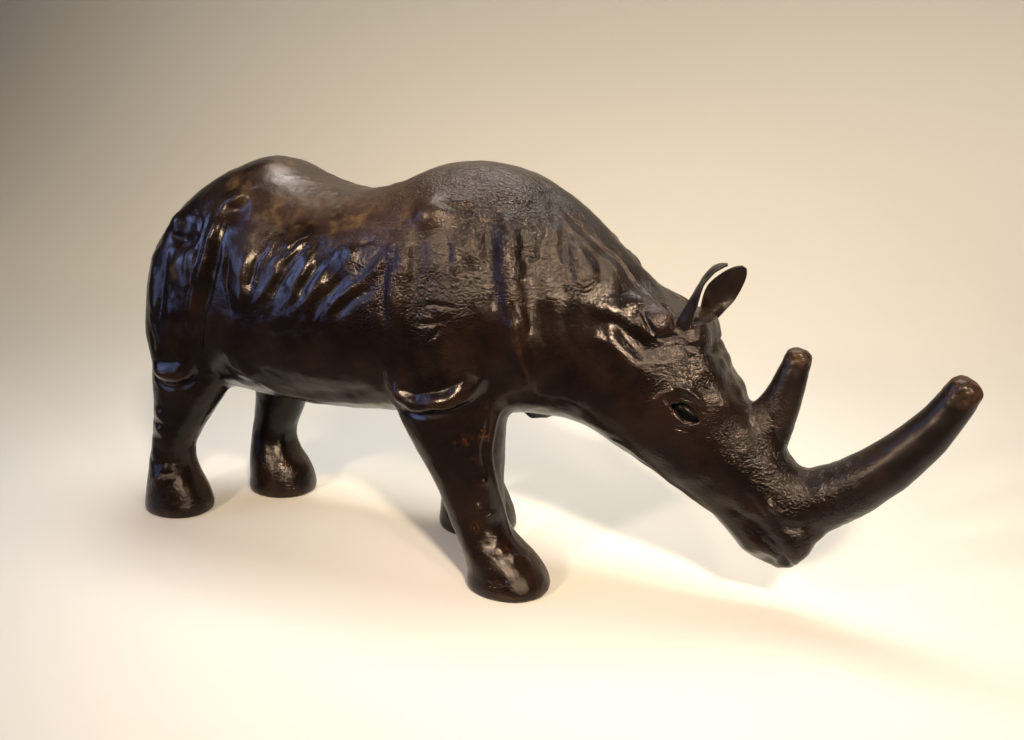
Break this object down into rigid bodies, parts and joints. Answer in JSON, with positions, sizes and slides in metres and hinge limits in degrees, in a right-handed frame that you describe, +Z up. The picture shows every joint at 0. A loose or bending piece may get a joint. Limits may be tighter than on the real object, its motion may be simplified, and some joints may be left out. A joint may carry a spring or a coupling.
{
  "type": "leather rhinoceros figure",
  "caption": "Leather-covered rhinoceros figure walking with its head held low, with blunt nose horns, leaf ears and glass eyes. It stands on its feet.",
  "frame": {"origin": "on the ground, at the middle of the figure's box seen from above", "axes": "+X towards the head and horns, +Y towards the animal's left side, +Z up from the soles"},
  "size_m": [0.7304, 0.177, 0.3368],
  "materials": {
    "body_leather": "glossy dark brown hide with worn reddish edges",
    "horn_leather": "smooth dark leather",
    "ear_leather": "smooth thin dark leather",
    "tail_leather": "smooth dark leather",
    "dark_glass": "glossy, nearly black"
  },
  "bodies": {
    "root": {"leather_body": "body_leather", "front_horn": "horn_leather", "rear_horn": "horn_leather", "left_ear": "ear_leather", "right_ear": "ear_leather", "left_eye": "dark_glass", "right_eye": "dark_glass", "tail": "tail_leather"}
  },
  "joints": []
}
